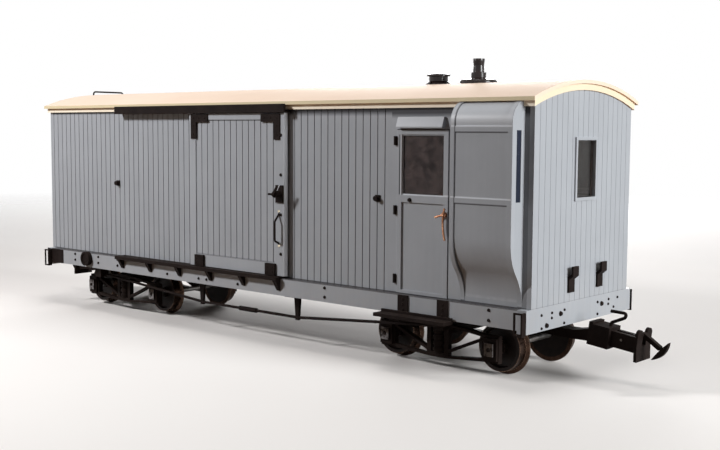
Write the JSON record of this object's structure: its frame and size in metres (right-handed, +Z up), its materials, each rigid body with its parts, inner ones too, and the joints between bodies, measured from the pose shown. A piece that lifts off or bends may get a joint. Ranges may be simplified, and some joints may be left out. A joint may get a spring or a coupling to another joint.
{
  "type": "model narrow gauge bogie brake van",
  "caption": "Model railway goods brake van on two bogies, with plank sides, sliding goods doors, a guard's compartment with side lookouts and chopper couplers.",
  "frame": {"origin": "on the floor under the wheel flanges, at the middle of the van", "axes": "+X along the van towards the guard's end, +Y across to the far side, +Z up"},
  "size_m": [0.4762, 0.116, 0.1562],
  "materials": {
    "grey_body": "satin",
    "cream_roof": "satin",
    "black_iron": "satin",
    "brown_underfloor": "matte",
    "wheel_metal": "blackened, worn treads",
    "axle_steel": "satin",
    "brass": "satin",
    "window_glass": "clear"
  },
  "bodies": {
    "van": {"chimney": "black_iron", "corner_loops": "black_iron", "door_hoods": "black_iron", "door_louvres": "grey_body", "door_rails": "black_iron", "ducket_glass": "window_glass", "duckets": "grey_body", "end_left": "grey_body", "end_right": "grey_body", "end_window_glass": "window_glass", "floor": "grey_body", "footboards": "black_iron", "guard_hinges": "black_iron", "headstocks": "grey_body", "lamp_irons": "black_iron", "lamp_top": "black_iron", "partition": "grey_body", "pivot_screws": "axle_steel", "roof_base": "cream_roof", "roof_cover": "cream_roof", "roof_wire": "black_iron", "side_far": "grey_body", "side_near": "grey_body", "solebar_fittings": "black_iron", "solebars": "grey_body", "truss_frames": "black_iron", "underframe_members": "black_iron", "vacuum_cylinder": "brown_underfloor", "wall_catches": "black_iron"},
    "near_goods_door": {"goods_door_irons_near": "black_iron", "goods_door_near": "grey_body"},
    "far_goods_door": {"goods_door_far": "grey_body", "goods_door_irons_far": "black_iron"},
    "near_guard_door": {"guard_door_near": "grey_body", "guard_glass_near": "window_glass", "guard_lever_near": "brass"},
    "far_guard_door": {"guard_door_far": "grey_body", "guard_glass_far": "window_glass", "guard_lever_far": "brass"},
    "bogie_left": {"bogie_bolster_left": "black_iron", "bogie_sides_left": "black_iron", "coupler_hook_left": "black_iron", "coupler_left": "black_iron", "coupler_wire_left": "black_iron"},
    "bogie_right": {"bogie_bolster_right": "black_iron", "bogie_sides_right": "black_iron", "coupler_hook_right": "black_iron", "coupler_right": "black_iron", "coupler_wire_right": "black_iron"},
    "wheelset_left_outer": {"axle_left_outer": "axle_steel", "wheels_left_outer": "wheel_metal"},
    "wheelset_left_inner": {"axle_left_inner": "axle_steel", "wheels_left_inner": "wheel_metal"},
    "wheelset_right_inner": {"axle_right_inner": "axle_steel", "wheels_right_inner": "wheel_metal"},
    "wheelset_right_outer": {"axle_right_outer": "axle_steel", "wheels_right_outer": "wheel_metal"}
  },
  "joints": [
    {"name": "near_goods_door_slide", "type": "slide", "parent": "van", "child": "near_goods_door", "axis": [-1, 0, 0], "range_m": [0, 0.069]},
    {"name": "far_goods_door_slide", "type": "slide", "parent": "van", "child": "far_goods_door", "axis": [-1, 0, 0], "range_m": [0, 0.069]},
    {"name": "near_guard_door_hinge", "type": "hinge", "parent": "van", "child": "near_guard_door", "pos_m": [0.1127, -0.0466, 0.0797], "axis": [0, 0, -1], "range_deg": [0, 100]},
    {"name": "far_guard_door_hinge", "type": "hinge", "parent": "van", "child": "far_guard_door", "pos_m": [0.1127, 0.0466, 0.0797], "axis": [0, 0, 1], "range_deg": [0, 100]},
    {"name": "left_bogie_swivel", "type": "hinge", "parent": "van", "child": "bogie_left", "pos_m": [-0.13, 0, 0.024], "axis": [0, 0, 1], "range_deg": [-8, 8]},
    {"name": "right_bogie_swivel", "type": "hinge", "parent": "van", "child": "bogie_right", "pos_m": [0.13, 0, 0.024], "axis": [0, 0, 1], "range_deg": [-8, 8]},
    {"name": "left_outer_wheels_spin", "type": "hinge", "parent": "bogie_left", "child": "wheelset_left_outer", "pos_m": [-0.1625, 0, 0.014], "axis": [0, 1, 0], "continuous": true},
    {"name": "left_inner_wheels_spin", "type": "hinge", "parent": "bogie_left", "child": "wheelset_left_inner", "pos_m": [-0.0975, 0, 0.014], "axis": [0, 1, 0], "continuous": true},
    {"name": "right_outer_wheels_spin", "type": "hinge", "parent": "bogie_right", "child": "wheelset_right_outer", "pos_m": [0.1625, 0, 0.014], "axis": [0, 1, 0], "continuous": true},
    {"name": "right_inner_wheels_spin", "type": "hinge", "parent": "bogie_right", "child": "wheelset_right_inner", "pos_m": [0.0975, 0, 0.014], "axis": [0, 1, 0], "continuous": true}
  ]
}
